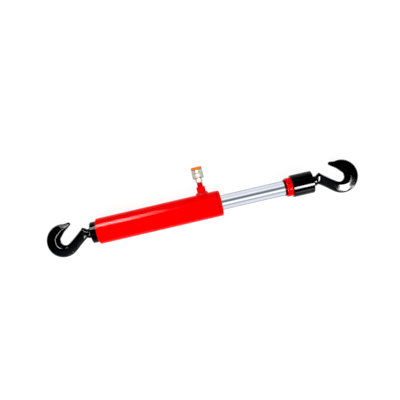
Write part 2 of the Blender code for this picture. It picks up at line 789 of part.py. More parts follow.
def make_adapter():
    """The coupler's threaded foot, with a hexagon for a spanner and the check valve's seat."""
    relief = NIPPLE_RADIUS
    chamber = 0.0042
    seat = 0.0024
    seat_start = 0.0720
    outline = [
        (COUPLER_THREAD, VALVE_SEAT_END),
        (COUPLER_THREAD, COUPLER_START + GAP),
        (relief, COUPLER_START + GAP),
        (relief, HEX_END),
        (HEX_CORNER, HEX_END),
        (HEX_CORNER, HEX_START + 0.0020),
        (relief, HEX_START),
        (NIPPLE_SPIGOT + GAP, HEX_START),
        (NIPPLE_SPIGOT + GAP, NIPPLE_TOP + GAP),
        (chamber, NIPPLE_TOP + GAP),
        (chamber, seat_start - 0.0018),
        (seat, seat_start),
        (seat, VALVE_SEAT_END),
    ]
    adapter = turned("coupler_adapter", outline, "zinc", PORT)
    flat = HEX_CORNER * math.cos(math.pi / 6)
    depth = 0.004
    block = (depth, HEX_CORNER * 2, HEX_END - HEX_START + 2 * GAP)
    for i in range(6):
        turn = math.radians(60 * i + 90)
        reach = flat + depth / 2
        place = (reach * math.cos(turn), reach * math.sin(turn), (HEX_START + HEX_END) / 2)
        mesh = box_mesh("hexagon_flat", block)
        cut(adapter, add_cutter("hexagon_flat_" + str(i), mesh, PORT, place, (0, 0, turn)))


def make_coupler():
    body = COUPLER_RADIUS
    body_outline = [
        (body - 0.0007, COUPLER_TOP),
        (body, COUPLER_TOP - 0.0007),
        (body, 0.0777),
        (body - 0.0008, 0.0777),
        (body - 0.0008, 0.0760),
        (body, 0.0760),
        (body, COUPLER_START + 0.0007),
        (body - 0.0007, COUPLER_START),
        (COUPLER_THREAD + GAP, COUPLER_START),
        (COUPLER_THREAD + GAP, SOCKET_FLOOR),
        (SOCKET_RADIUS, SOCKET_FLOOR),
        (SOCKET_RADIUS, 0.0790),
        (SOCKET_RADIUS + 0.0009, 0.0790),
        (SOCKET_RADIUS + 0.0009, 0.0810),
        (SOCKET_RADIUS, 0.0810),
        (SOCKET_RADIUS, COUPLER_TOP),
    ]
    turned("coupler_body", body_outline, "zinc", PORT)
    turned("coupler_socket_seal", ring(0.0067, 0.0076, 0.0793, 0.0807), "seal_rubber", PORT)
    turned("coupler_snap_ring", ring(0.0092, 0.0106, 0.0763, 0.0774), "steel", PORT)
    grip = 0.0130
    upper = 0.0121
    low = 0.0663
    high = 0.0864
    collar_outline = [
        (upper - 0.0005, high),
        (upper, high - 0.0005),
        (upper, high - 0.0041),
        (grip, high - 0.0050),
        (grip, low + 0.0021),
        (grip - 0.0016, low),
        (COLLAR_BORE, low),
        (COLLAR_BORE, 0.0759),
        (COLLAR_BORE + 0.0009, 0.0759),
        (COLLAR_BORE + 0.0009, 0.0778),
        (COLLAR_BORE, 0.0778),
        (COLLAR_BORE, high),
    ]
    turned("coupler_collar", collar_outline, "zinc", PORT)


def make_check_valve():
    tip = 0.0755
    stem = 0.0018
    head = 0.0036
    poppet = [
        (0, tip),
        (stem - 0.0006, tip),
        (stem, tip - 0.0006),
        (stem, POPPET_FOOT + 0.0029),
        (head, POPPET_FOOT + 0.0014),
        (head, POPPET_FOOT),
        (0, POPPET_FOOT),
    ]
    turned("check_valve_poppet", poppet, "steel", PORT, TINY_STEPS)
    coil(
        "check_valve_spring", 0.0032, 0.00025, 4.5, NIPPLE_TOP + GAP, POPPET_FOOT - GAP,
        0.75, 8, PORT, "steel",
    )


def make_dust_cap():
    plug = 0.0064
    plug_end = CAP_RIM - 0.0032
    outline = [
        (0, CAP_TOP),
        (CAP_RADIUS - 0.0012, CAP_TOP),
        (CAP_RADIUS, CAP_TOP - 0.0012),
        (CAP_RADIUS, CAP_RIM + 0.0005),
        (CAP_RADIUS - 0.0005, CAP_RIM),
        (plug, CAP_RIM),
        (plug, plug_end + 0.0005),
        (plug - 0.0005, plug_end),
        (0, plug_end),
    ]
    turned("dust_cap", outline, "orange_plastic", PORT, RING_STEPS)


def main():
    make_barrel()
    make_rear_plug()
    make_gland()
    make_gland_seals()
    make_rod()
    make_piston()
    make_piston_nut()
    make_spring_seat()
    make_return_spring()
    make_rod_end_collar()
    make_swivel_housing()
    make_hook("front", FRONT_SWIVEL)
    make_hook("rear", REAR_SWIVEL)
    make_port()
    make_nipple()
    make_adapter()
    make_coupler()
    make_check_valve()
    make_dust_cap()
    for piece in PARTS.objects:
        if piece.type == "MESH":
            smooth(piece.data)


main()
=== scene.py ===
"""The looks of a single-acting hydraulic pull ram with a swivelling slip hook at each end.

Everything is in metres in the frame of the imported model: +X runs along the ram to its rod end, +Y to
the side of its oil port, +Z up. Most pieces are turned, so their outlines are corners
(radius, station, fillet), where a station is a distance along the line that the piece is turned about
and a corner without a fillet stays sharp. Corners at one station share a line.
"""

import json
import math

import bmesh
import bpy
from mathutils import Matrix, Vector

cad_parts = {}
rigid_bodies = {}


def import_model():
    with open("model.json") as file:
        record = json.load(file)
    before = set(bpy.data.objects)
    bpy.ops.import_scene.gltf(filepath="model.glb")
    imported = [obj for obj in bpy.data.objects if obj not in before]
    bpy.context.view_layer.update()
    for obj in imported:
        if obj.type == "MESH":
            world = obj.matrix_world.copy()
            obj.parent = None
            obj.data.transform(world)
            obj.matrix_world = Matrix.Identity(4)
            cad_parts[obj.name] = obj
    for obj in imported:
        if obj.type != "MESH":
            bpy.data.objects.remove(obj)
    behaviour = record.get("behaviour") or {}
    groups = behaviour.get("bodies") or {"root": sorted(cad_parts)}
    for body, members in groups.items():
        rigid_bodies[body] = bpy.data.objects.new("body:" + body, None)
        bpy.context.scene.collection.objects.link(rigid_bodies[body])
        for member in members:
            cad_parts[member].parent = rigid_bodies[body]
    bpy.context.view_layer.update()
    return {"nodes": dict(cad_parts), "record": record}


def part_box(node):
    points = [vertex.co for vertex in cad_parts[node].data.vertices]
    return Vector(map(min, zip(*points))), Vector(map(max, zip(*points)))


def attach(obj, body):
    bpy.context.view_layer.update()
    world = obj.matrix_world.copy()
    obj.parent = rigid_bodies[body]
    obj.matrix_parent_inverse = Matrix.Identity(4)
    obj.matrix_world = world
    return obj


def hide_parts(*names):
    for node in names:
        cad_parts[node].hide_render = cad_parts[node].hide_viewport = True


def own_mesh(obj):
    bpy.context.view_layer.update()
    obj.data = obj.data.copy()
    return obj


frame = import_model()

# Fineness of the surfaces
LARGE_STEPS = 160  # sides of the large turned pieces
SMALL_STEPS = 96
SCREW_STEPS = 40
ARC_SIDES = 5  # sides of a rounded corner
SUPPORT = 0.5  # distance of the loops beside a rounded corner, as a share of its radius
SUPPORT_LIMIT = 0.3  # and at most this share of the straight stretch beside it
SHARP_ANGLE = math.radians(38)
SLIVER = 0.00001

# Fits that the CAD pieces share
GAP = 0.0003
ROD_BORE_GAP = 0.0004
HOLE_MOUTH = 0.0003  # countersink of the set screws' holes


class TurningLine:
    """A line that pieces are turned about. Turns start at up and go towards side."""

    def __init__(self, origin, along, up):
        self.origin = Vector(origin)
        self.along = Vector(along).normalized()
        self.up = Vector(up).normalized()
        self.side = self.up.cross(self.along).normalized()

    def out(self, turn):
        return self.up * math.cos(turn) + self.side * math.sin(turn)

    def place(self, radius, station, turn):
        return self.origin + self.along * station + self.out(turn) * radius

    def offsets(self, node):
        """A CAD node's corners, as seen from this line's origin."""
        return [corner.co - self.origin for corner in frame["nodes"][node].data.vertices]

    def radius(self, node):
        """The largest distance of a CAD node's corners from this line."""
        return max((way - self.along * way.dot(self.along)).length for way in self.offsets(node))

    def ends(self, node):
        """The lowest and highest station of a CAD node."""
        stations = [way.dot(self.along) for way in self.offsets(node)]
        return min(stations), max(stations)


def middle_of(node):
    low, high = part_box(node)
    return (low + high) / 2


AXIS_HEIGHT = middle_of("piston_rod").z
RAM = TurningLine((0, 0, AXIS_HEIGHT), (1, 0, 0), (0, 0, 1))
PORT = TurningLine((middle_of("dust_cap").x, 0, AXIS_HEIGHT), (0, 1, 0), (0, 0, 1))


# Materials


class Nodes:
    """Adds nodes to a node tree. An input is a number, a colour or the output of another node."""

    def __init__(self, tree):
        self.tree = tree

    def add(self, kind, inputs, **settings):
        node = self.tree.nodes.new(kind)
        for key, value in settings.items():
            setattr(node, key, value)
        for socket, value in inputs.items():
            if isinstance(value, bpy.types.NodeSocket):
                self.tree.links.new(value, node.inputs[socket])
            else:
                node.inputs[socket].default_value = value
        return node

    def maths(self, operation, first, second=0.0):
        return self.add("ShaderNodeMath", {0: first, 1: second}, operation=operation).outputs[0]

    def spread(self, value, low, high, start=0.35, end=0.65):
        """value, between start and end, mapped to low and high. Noise mostly stays within the defaults."""
        inputs = {"Value": value, "From Min": start, "From Max": end, "To Min": low, "To Max": high}
        return self.add("ShaderNodeMapRange", inputs).outputs[0]

    def blend(self, factor, first, second):
        inputs = {0: factor, 6: first, 7: second}
        return self.add("ShaderNodeMix", inputs, data_type="RGBA").outputs[2]


class Finish(Nodes):
    """A Principled material whose colour, roughness and relief come from procedural textures. Texture
    coordinates are metres, so a scale is cells per metre: one number, or one for each axis."""

    def __init__(self, name, **constants):
        self.material = bpy.data.materials.new(name)
        self.material.use_nodes = True
        super().__init__(self.material.node_tree)
        self.shader = self.tree.nodes["Principled BSDF"]
        self.place = self.add("ShaderNodeTexCoord", {}).outputs["Object"]
        self.normal = None
        for socket, value in constants.items():
            self.shader.inputs[socket.replace("_", " ")].default_value = value

    def texture(self, kind, scale, **inputs):
        if not isinstance(scale, tuple):
            scale = (scale, scale, scale)
        stretched = self.add("ShaderNodeMapping", {"Vector": self.place, "Scale": scale}).outputs[0]
        return self.add(kind, {"Vector": stretched, "Scale": 1.0, **inputs}).outputs[0]

    def noise(self, scale, detail=3, distortion=0.0):
        return self.texture("ShaderNodeTexNoise", scale, Detail=detail, Distortion=distortion)

    def cells(self, scale):
        return self.texture("ShaderNodeTexVoronoi", scale)

    def beside(self, station, near, far):
        """1 within the distance near of a station along the ram, falling to 0 at the distance far."""
        along = self.add("ShaderNodeSeparateXYZ", {0: self.place}).outputs[0]
        distance = self.maths("ABSOLUTE", self.maths("SUBTRACT", along, station))
        return self.spread(distance, 1, 0, near, far)

    def mottle(self, scale, first, second, detail=4, distortion=0.0):
        """Two colours that noise blends."""
        return self.blend(self.spread(self.noise(scale, detail, distortion), 0, 1), first, second)

    def colour(self, value):
        self.tree.links.new(value, self.shader.inputs["Base Color"])

    def film(self, *mottled, **noise):
        """Mottles the whole surface."""
        self.colour(self.mottle(*mottled, **noise))

    def roughness(self, scale, low, high, detail=3):
        """Roughness that noise varies between low and high."""
        value = self.spread(self.noise(scale, detail), low, high)
        self.tree.links.new(value, self.shader.inputs["Roughness"])

    def relief(self, height, depth, strength=1.0):
        """Adds relief of a depth in metres on top of what is there."""
        inputs = {"Height": height, "Distance": depth, "Strength": strength}
        if self.normal:
            inputs["Normal"] = self.normal
        self.normal = self.add("ShaderNodeBump", inputs).outputs[0]
        self.tree.links.new(self.normal, self.shader.inputs["Normal"])

    def grain(self, scale, depth, detail=3, strength=1.0):
        self.relief(self.noise(scale, detail), depth, strength)


def rgb(red, green, blue):
    return (red, green, blue, 1.0)


def red_enamel():
    """Sprayed gloss enamel: a faint orange peel, film build that varies, and fine dust under the gloss.
    Painted shade darkens the joint of the gland nut and the rear lip and groove of the rod's collar."""
    finish = Finish("red_enamel", Specular_IOR_Level=0.05)
    film = finish.mottle(30, rgb(0.82, 0.0006, 0.0028), rgb(0.76, 0.0005, 0.0024))
    dust = finish.spread(finish.cells(1400), 1, 0, 0.02, 0.09)
    dusty = finish.blend(dust, film, rgb(0.62, 0.001, 0.002))
    # Painted shade: a narrow darker band on both sides of the joint of barrel and gland nut, where shade
    # falls in the gap
    joint = RAM.ends("cylinder_barrel")[1]
    seam_shaded = finish.blend(finish.beside(joint, 0.0003, 0.0012), dusty, rgb(0.34, 0.0, 0.001))
    # Painted shade: the collar's rear lip and groove, which lie in shade, are painted near-black
    groove = RAM.ends("rod_end_collar")[0] + 0.0022
    finish.colour(finish.blend(finish.beside(groove, 0.0019, 0.0025), seam_shaded, rgb(0.07, 0.0, 0.001)))
    finish.roughness(85, 0.12, 0.17, detail=5)
    finish.grain(650, 0.0000025, detail=2)
    finish.grain(90, 0.00003, detail=2)
    return finish


def black_enamel():
    """Gloss black over a turned surface: the lathe's rings show faintly through the film."""
    finish = Finish("black_enamel", Specular_IOR_Level=0.12)
    finish.film(45, rgb(0.0008, 0.0009, 0.0012), rgb(0.002, 0.0022, 0.0028))
    finish.roughness(120, 0.07, 0.12, detail=5)
    finish.grain((1900, 40, 40), 0.000001, detail=2)
    finish.grain(700, 0.0000006, detail=2)
    return finish


def black_forging():
    """Gloss black over a drop forging: scale pits and a slow hand-ground unevenness under the film."""
    finish = Finish("black_forging", Specular_IOR_Level=0.12)
    finish.film(60, rgb(0.0006, 0.0007, 0.0009), rgb(0.0016, 0.0018, 0.0022), detail=5)
    finish.roughness(210, 0.07, 0.11, detail=4)
    finish.grain(75, 0.00008, strength=0.5)
    pits = finish.spread(finish.cells(520), 0, 1, 0.05, 0.30)
    finish.relief(pits, 0.00003, 0.5)
    finish.grain(900, 0.00001)
    return finish


def hard_chrome():
    """Ground and polished hard chrome: hair-fine rings round the rod and a thin film of wiped oil."""
    finish = Finish("hard_chrome", Metallic=1.0, Specular_Tint=rgb(0.30, 0.30, 0.31))
    finish.film((14, 160, 160), rgb(0.71, 0.75, 0.83), rgb(0.66, 0.70, 0.775))
    finish.roughness((25, 420, 420), 0.05, 0.10)
    finish.grain((7000, 90, 90), 0.0000006)
    return finish


def overspray(name, covered, bare):
    """Thin, duller enamel on a rough surface, with another colour where the film hasn't covered."""
    finish = Finish(name, Specular_IOR_Level=0.2)
    finish.film(700, covered, bare)
    finish.roughness(900, 0.22, 0.4)
    finish.grain(1500, 0.00001)
    return finish


def zinc_plate():
    """Bright zinc with a straw-coloured chromate, turned about the port's line."""
    finish = Finish("zinc_plate", Metallic=0.8, Specular_Tint=rgb(0.30, 0.30, 0.27))
    finish.film(190, rgb(0.55, 0.55, 0.51), rgb(0.47, 0.46, 0.36))
    finish.roughness((60, 900, 60), 0.24, 0.32)
    finish.grain((80, 5200, 80), 0.0000008)
    return finish


def machined_steel():
    finish = Finish("machined_steel", Metallic=1.0)
    finish.film(240, rgb(0.50, 0.50, 0.51), rgb(0.36, 0.36, 0.37), detail=5)
    finish.roughness((1600, 1600, 90), 0.26, 0.42)
    finish.grain((3400, 3400, 160), 0.000003)
    return finish


def black_oxide():
    """Blackened steel of the socket set screws."""
    finish = Finish("black_oxide", Specular_IOR_Level=0.15)
    finish.film(900, rgb(0.002, 0.002, 0.0022), rgb(0.006, 0.006, 0.0065), detail=5)
    finish.roughness(1500, 0.35, 0.5)
    finish.grain(3000, 0.000005)
    return finish


def bearing_bronze():
    finish = Finish("bearing_bronze", Metallic=1.0)
    finish.film(260, rgb(0.66, 0.44, 0.20), rgb(0.50, 0.31, 0.12), detail=5)
    finish.roughness(1100, 0.28, 0.48, detail=4)
    finish.relief(finish.cells(2600), 0.00002, 0.6)
    return finish


def nitrile_rubber():
    finish = Finish("nitrile_rubber", Specular_IOR_Level=0.35)
    finish.film(420, rgb(0.010, 0.010, 0.011), rgb(0.024, 0.024, 0.026), detail=5)
    finish.roughness(1800, 0.48, 0.68, detail=4)
    finish.grain(2600, 0.00001, detail=4)
    return finish


def ptfe():
    finish = Finish("ptfe", Specular_IOR_Level=0.4)
    finish.film(350, rgb(0.80, 0.79, 0.74), rgb(0.70, 0.69, 0.63))
    finish.roughness(900, 0.4, 0.55)
    finish.grain(2200, 0.000008)
    return finish


def orange_plastic():
    """Moulded polyethylene: a fine spark-eroded grain and slightly uneven pigment."""
    finish = Finish("orange_plastic", Specular_IOR_Level=0.25)
    finish.film(320, rgb(0.80, 0.175, 0.004), rgb(0.66, 0.12, 0.003), detail=5, distortion=0.6)
    finish.roughness(1300, 0.30, 0.42)
    finish.grain(3800, 0.000012, detail=2)
    return finish


FINISHES = {
    "red_paint": red_enamel(),
    "black_paint": black_enamel(),
    "forging": black_forging(),
    "chrome": hard_chrome(),
    # The thread paint is darker than the red enamel: partly its thin film, partly painted shade of the
    # thread's grooves
    "thread_paint": overspray("thread_paint", rgb(0.64, 0.002, 0.018), rgb(0.38, 0.001, 0.009)),
    "weld_paint": overspray("weld_paint", rgb(0.76, 0.0004, 0.002), rgb(0.52, 0.0003, 0.002)),
    "zinc": zinc_plate(),
    "steel": machined_steel(),
    "black_oxide": black_oxide(),
    "bronze": bearing_bronze(),
    "seal_rubber": nitrile_rubber(),
    "seal_plastic": ptfe(),
    "orange_plastic": orange_plastic(),
}
SLOTS = {subpart["node"]: subpart["material_slot"] for subpart in frame["record"]["subparts"]}


# Shapes


def linked(name, data):
    item = bpy.data.objects.new(name, data)
    bpy.context.scene.collection.objects.link(item)
    return item


def add_piece(name, mesh, finish, body, *nodes):
    """Makes a piece of a mesh that is in place, rides it on a body and hides the CAD nodes that it stands
    for. The piece is in their material slot, whatever its finish."""
    mesh.materials.clear()
    mesh.materials.append(FINISHES[finish].material)
    mesh.shade_smooth()
    mesh.set_sharp_from_angle(angle=SHARP_ANGLE)
    piece = linked(name, mesh)
    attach(piece, body)
    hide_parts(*nodes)
    return piece


def support(corner, way, reach, fillet):
    """The point that keeps a straight stretch flat beside its rounded corner, if there is room for it."""
    margin = min(SUPPORT * fillet, SUPPORT_LIMIT * (way.length - reach))
    return [corner + way.normalized() * (reach + margin)] if margin > SLIVER else []


def rounded(corners, closed):
    """The points of an outline, with each corner that has a fillet turned into an arc."""
    points = []
    count = len(corners)
    for i, corner in enumerate(corners):
        here = Vector(corner[:2])
        if len(corner) < 3 or not (closed or 0 < i < count - 1):
            points.append(here)
            continue
        fillet = corner[2]
        before = Vector(corners[i - 1][:2]) - here
        after = Vector(corners[(i + 1) % count][:2]) - here
        half_angle = before.angle(after) / 2
        reach = fillet / math.tan(half_angle)
        towards = (before.normalized() + after.normalized()).normalized()
        centre = here + towards * fillet / math.sin(half_angle)
        start = here + before.normalized() * reach - centre
        end = here + after.normalized() * reach - centre
        first = math.atan2(start.y, start.x)
        sweep = math.remainder(math.atan2(end.y, end.x) - first, math.tau)
        arc = [first + sweep * k / ARC_SIDES for k in range(ARC_SIDES + 1)]
        points += support(here, before, reach, fillet)
        points += [centre + Vector((math.cos(turn), math.sin(turn))) * fillet for turn in arc]
        points += support(here, after, reach, fillet)
    return points


def inset(wall, floor, start, end):
    """The corners of a square groove, or of a square land, in the wall of an outline."""
    return [(wall, start), (floor, start), (floor, end), (wall, end)]


def skin(shape, loops, closed):
    """Spans neighbouring loops of corners with faces. A loop may be a single corner. If closed, the last
    loop joins the first."""
    followers = loops[1:] + loops[:1] if closed else loops[1:]
    for here, there in zip(loops, followers):
        for k in range(max(len(here), len(there))):
            corners = (here, k), (here, k + 1), (there, k + 1), (there, k)
            face = list(dict.fromkeys(loop[place % len(loop)] for loop, place in corners))
            if len(face) > 2:
                shape.faces.new(face)


def turned_mesh(name, outline, line, steps=LARGE_STEPS, ripple=None):
    """A closed body turned about a line. An outline that starts on the line is solid, and any other is
    a closed ring. ripple(turn, radius, station) may shift a point's radius."""
    solid = outline[0][0] == 0
    points = rounded(outline, not solid)
    shape = bmesh.new()
    loops = []
    for radius, station in points:
        loop = []
        for k in range(steps if radius > SLIVER else 1):
            turn = math.tau * k / steps
            shift = ripple(turn, radius, station) if ripple else 0
            loop.append(shape.verts.new(line.place(radius + shift, station, turn)))
        loops.append(loop)
    skin(shape, loops, closed=not solid)
    return finished_mesh(name, shape)


def finished_mesh(name, shape):
    bmesh.ops.recalc_face_normals(shape, faces=shape.faces)
    mesh = bpy.data.meshes.new(name)
    shape.to_mesh(mesh)
    shape.free()
    return mesh


def turned_piece(name, outline, line, finish, body, node, steps=LARGE_STEPS, ripple=None, tools=()):
    """A turned piece, less the tools' bodies, that stands for a CAD node."""
    mesh = turned_mesh(name, outline, line, steps, ripple)
    add_piece(name, cut(mesh, *tools) if tools else mesh, finish, body, node)


def prism_mesh(name, line, sides, across_flats, low, high):
    """A regular prism about a line, with a shallow drilled cone at its lower end."""
    shape = bmesh.new()
    radius = across_flats / 2 / math.cos(math.pi / sides)
    loops = [[shape.verts.new(line.place(0, low - across_flats / 4, 0))]]
    for station in (low, high):
        turns = [math.tau * k / sides for k in range(sides)]
        loops.append([shape.verts.new(line.place(radius, station, turn)) for turn in turns])
    skin(shape, loops, closed=False)
    shape.faces.new(loops[-1])
    return finished_mesh(name, shape)


def cut(mesh, *tools):
    """The mesh with the tools' bodies taken out of it."""
    target = linked("cut_target", mesh)
    cutters = [linked("cutter", tool) for tool in tools]
    for cutter in cutters:
        boolean = target.modifiers.new("cut", "BOOLEAN")
        boolean.operation = "DIFFERENCE"
        boolean.solver = "EXACT"
        boolean.object = cutter
    result = baked(target)
    for cutter in cutters:
        bpy.data.objects.remove(cutter)
    return result


def baked(target):
    """The mesh of an object with its modifiers applied. The object is removed."""
    depsgraph = bpy.context.evaluated_depsgraph_get()
    result = bpy.data.meshes.new_from_object(target.evaluated_get(depsgraph))
    bpy.data.objects.remove(target)
    return result


def radial_line(node, turn):
    """The line that leaves the ram's axis sideways through the middle of a CAD node."""
    return TurningLine(RAM.place(0, middle_of(node).x, 0), RAM.out(turn), RAM.along)


def hole_tool(node, turn, radius, low, high):
    """A drill for a screw's hole, with a countersink that opens at the radius high."""
    top = high + HOLE_MOUTH
    drill = [(0, top), (radius + HOLE_MOUTH * 2, top), (radius, high - HOLE_MOUTH), (radius, low), (0, low)]
    return turned_mesh("hole", drill, radial_line(node, turn), SCREW_STEPS)


def set_screw(name, node, turn, body):
    """A socket set screw with a chamfered cup end, in a radial hole."""
    axis = radial_line(node, turn)
    low, high = axis.ends(node)
    radius = axis.radius(node)
    edge = radius * 0.16
    cup = edge * 2
    outline = [
        (0, high), (radius - edge, high), (radius, high - edge),
        (radius, low + cup), (radius - cup, low), (0, low),
    ]
    screw = turned_mesh(name, outline, axis, SCREW_STEPS)
    socket = prism_mesh("socket", axis, 6, radius * 1.05, (low + high) / 2, high * 1.02)
    add_piece(name, cut(screw, socket), "black_oxide", body, node)


# Barrel, gland, rear plug

BARREL_RADIUS = RAM.radius("cylinder_barrel")
THREAD_RADIUS = BARREL_RADIUS - 0.005
ROD_RADIUS = RAM.radius("piston_rod")
SPANNER_TURN = math.radians(-14.5)
LOCK_TURN = math.radians(-135)
EDGE_BREAK = 0.0006  # bevel beside the joint of barrel and gland nut
END_WALL = 0.0150  # of the parts that the hooks' studs turn in
STUD_RADIUS = 0.0100


def make_barrel():
    rear, front = RAM.ends("cylinder_barrel")
    bore = THREAD_RADIUS - 0.0025
    rear_thread_end = rear + 0.0300
    front_thread_end = front - 0.0252
    outline = [
        (BARREL_RADIUS - EDGE_BREAK, front),
        (BARREL_RADIUS, front - EDGE_BREAK, 0.0002),
        (BARREL_RADIUS, rear, 0.0016), (THREAD_RADIUS, rear, 0.0005),
        *inset(THREAD_RADIUS, bore, rear_thread_end, front_thread_end),
        (THREAD_RADIUS, front, 0.0003),
    ]
    hole = hole_tool("rear_plug_lock_screw", LOCK_TURN, 0.0028, bore, BARREL_RADIUS)
    turned_piece("barrel_tube", outline, RAM, "red_paint", "barrel", "cylinder_barrel", tools=[hole])
    set_screw("rear_lock_screw", "rear_plug_lock_screw", LOCK_TURN, "barrel")


def make_gland():
    nose_end, front = RAM.ends("gland_nut")
    seam = RAM.ends("cylinder_barrel")[1] + GAP
    thread = THREAD_RADIUS - GAP
    bore = ROD_RADIUS + ROD_BORE_GAP
    nose = bore + 0.0030
    thread_end = nose_end + 0.0163
    wiper_seat = 0.0205
    wiper_floor = front - 0.0075
    outline = [
        (BARREL_RADIUS - 0.0026, front, 0.0010),
        (BARREL_RADIUS, front - 0.0030, 0.0022),
        (BARREL_RADIUS, seam + EDGE_BREAK, 0.0002),
        (BARREL_RADIUS - EDGE_BREAK, seam), (thread, seam),
        (thread, thread_end), (nose, thread_end),
        (nose, nose_end), (bore, nose_end),
        (bore, wiper_floor), (wiper_seat, wiper_floor),
        (wiper_seat, front, 0.0004),
    ]
    hole = hole_tool("gland_lock_screw", SPANNER_TURN, 0.0018, THREAD_RADIUS - 0.0009, BARREL_RADIUS)
    turned_piece("gland_flange", outline, RAM, "red_paint", "barrel", "gland_nut", tools=[hole])
    set_screw("flange_lock_screw", "gland_lock_screw", SPANNER_TURN, "barrel")


def make_wiper():
    inner_end, lip_end = RAM.ends("rod_wiper")
    inner = ROD_RADIUS + GAP
    outer = RAM.radius("rod_wiper")
    outline = [
        (inner + 0.0006, lip_end, 0.0002),
        (inner + 0.0013, lip_end - 0.0013, 0.0004),
        (outer - 0.0006, lip_end - 0.0016, 0.0003),
        (outer, lip_end - 0.0024, 0.0003),
        (outer, inner_end), (inner, inner_end),
        (inner, lip_end - 0.0006),
    ]
    turned_piece("wiper_lip", outline, RAM, "seal_rubber", "barrel", "rod_wiper")


def make_rear_plug():
    face, inner_end = RAM.ends("rear_end_plug")
    outer = THREAD_RADIUS - GAP
    stud_hole = STUD_RADIUS + ROD_BORE_GAP
    cavity = 0.0175
    outline = [
        (outer, inner_end),
        (outer, face, 0.0012), (stud_hole, face, 0.0010),
        (stud_hole, face + END_WALL), (cavity, face + END_WALL),
        (cavity, inner_end),
    ]
    vent = TurningLine((0, middle_of("breather_plug").y, AXIS_HEIGHT), (1, 0, 0), (0, 0, 1))
    radius = vent.radius("breather_plug")
    seat = radius + GAP
    seat_floor = face + 0.006
    mouth = face - 0.001
    seat_outline = [(0, seat_floor), (seat, seat_floor), (seat, mouth), (0, mouth)]
    drill = turned_mesh("breather_seat", seat_outline, vent, SCREW_STEPS)
    turned_piece("rear_plug_body", outline, RAM, "black_paint", "barrel", "rear_end_plug", tools=[drill])
    low, high = vent.ends("breather_plug")
    filter_outline = [(0, high), (radius, high), (radius, low, 0.0005), (0, low)]
    turned_piece("breather_filter", filter_outline, vent, "bronze", "barrel", "breather_plug", SCREW_STEPS)


# Rod and its end pieces

COLLAR_LIP_LENGTH = 0.0019
ROD_SPIGOT_RADIUS = 0.0150
SET_SCREW_TURN = math.radians(24.5)


def make_rod():
    rear, front = RAM.ends("piston_rod")
    collar_seat = RAM.ends("rod_end_collar")[0] + COLLAR_LIP_LENGTH - GAP
    piston_rear, piston_front = RAM.ends("piston")
    shoulder = piston_front + GAP
    piston_seat = 0.0130
    thread = 0.0120
    outline = [
        (0, front), (ROD_SPIGOT_RADIUS, front, 0.0006),
        (ROD_SPIGOT_RADIUS, collar_seat), (ROD_RADIUS, collar_seat),
        (ROD_RADIUS, shoulder, 0.0004), (piston_seat, shoulder),
        (piston_seat, piston_rear), (thread, piston_rear),
        (thread, rear, 0.0010), (0, rear),
    ]
    turned_piece("rod_shaft", outline, RAM, "chrome", "rod", "piston_rod")


def make_collar():
    rear, spigot_end = RAM.ends("rod_end_collar")
    shoulder = RAM.ends("front_swivel_housing")[0] - GAP
    outer = RAM.radius("rod_end_collar")
    spigot = 0.0200
    lip = 0.0188
    groove = 0.0178
    band = rear + 0.0044
    groove_start = rear + COLLAR_LIP_LENGTH
    bore = ROD_RADIUS + GAP
    spigot_bore = ROD_SPIGOT_RADIUS + GAP
    outline = [
        (0, spigot_end), (spigot, spigot_end, 0.0008),
        (spigot, shoulder), (outer, shoulder, 0.0004),
        (outer, band, 0.0004), (groove, band),
        (groove, groove_start), (lip, groove_start, 0.0004),
        (lip, rear, 0.0006), (bore, rear, 0.0002),
        (bore, groove_start), (spigot_bore, groove_start),
        (spigot_bore, shoulder), (0, shoulder),
    ]
    screws = {"collar_set_screw": SET_SCREW_TURN, "collar_set_screw_rear": SET_SCREW_TURN + math.pi}
    low = ROD_SPIGOT_RADIUS - GAP
    tools = [hole_tool(node, turn, 0.0026, low, outer) for node, turn in screws.items()]
    turned_piece("rod_collar", outline, RAM, "red_paint", "rod", "rod_end_collar", tools=tools)
    for node, turn in screws.items():
        set_screw(node + "_fine", node, turn, "rod")


def make_housing():
    rear, face = RAM.ends("front_swivel_housing")
    outer = RAM.radius("front_swivel_housing")
    bore = 0.0203
    stud_hole = STUD_RADIUS + ROD_BORE_GAP
    outline = [
        (outer, face, 0.0010),
        (outer, rear, 0.0009), (bore, rear, 0.0003),
        (bore, face - END_WALL), (stud_hole, face - END_WALL),
        (stud_hole, face, 0.0010),
    ]
    turned_piece("swivel_housing", outline, RAM, "black_paint", "rod", "front_swivel_housing")


# Hooks. A hook is lofted through stations. Each is a closed section between a point on the hook's inner
# edge and one on its outer edge, as (distance out from the face it turns in, distance to the mouth's side).

HALF_SIDES = 8  # corners of half a section
HOOK_SUBDIVISIONS = 2
CAGE_CORRECTIONS = 2
# Half sections, as (share of the width from the inner edge, share of the half thickness)
ROUND_SECTION = [
    (0.5 - 0.5 * math.cos(math.pi * (k + 0.5) / HALF_SIDES), math.sin(math.pi * (k + 0.5) / HALF_SIDES))
    for k in range(HALF_SIDES)
]
FORGED_SECTION = [
    (0.0, 0.30), (0.05, 0.56), (0.12, 0.76), (0.20, 0.92),
    (0.30, 1.0), (0.60, 0.90), (0.88, 0.79), (1.0, 0.25),
]
BACK_CREASES = {6: 0.7, 7: 0.5}  # sharpness of the edges beside the back, by place in FORGED_SECTION
RIDGE_SHARE = 0.30  # the ridge's place in FORGED_SECTION
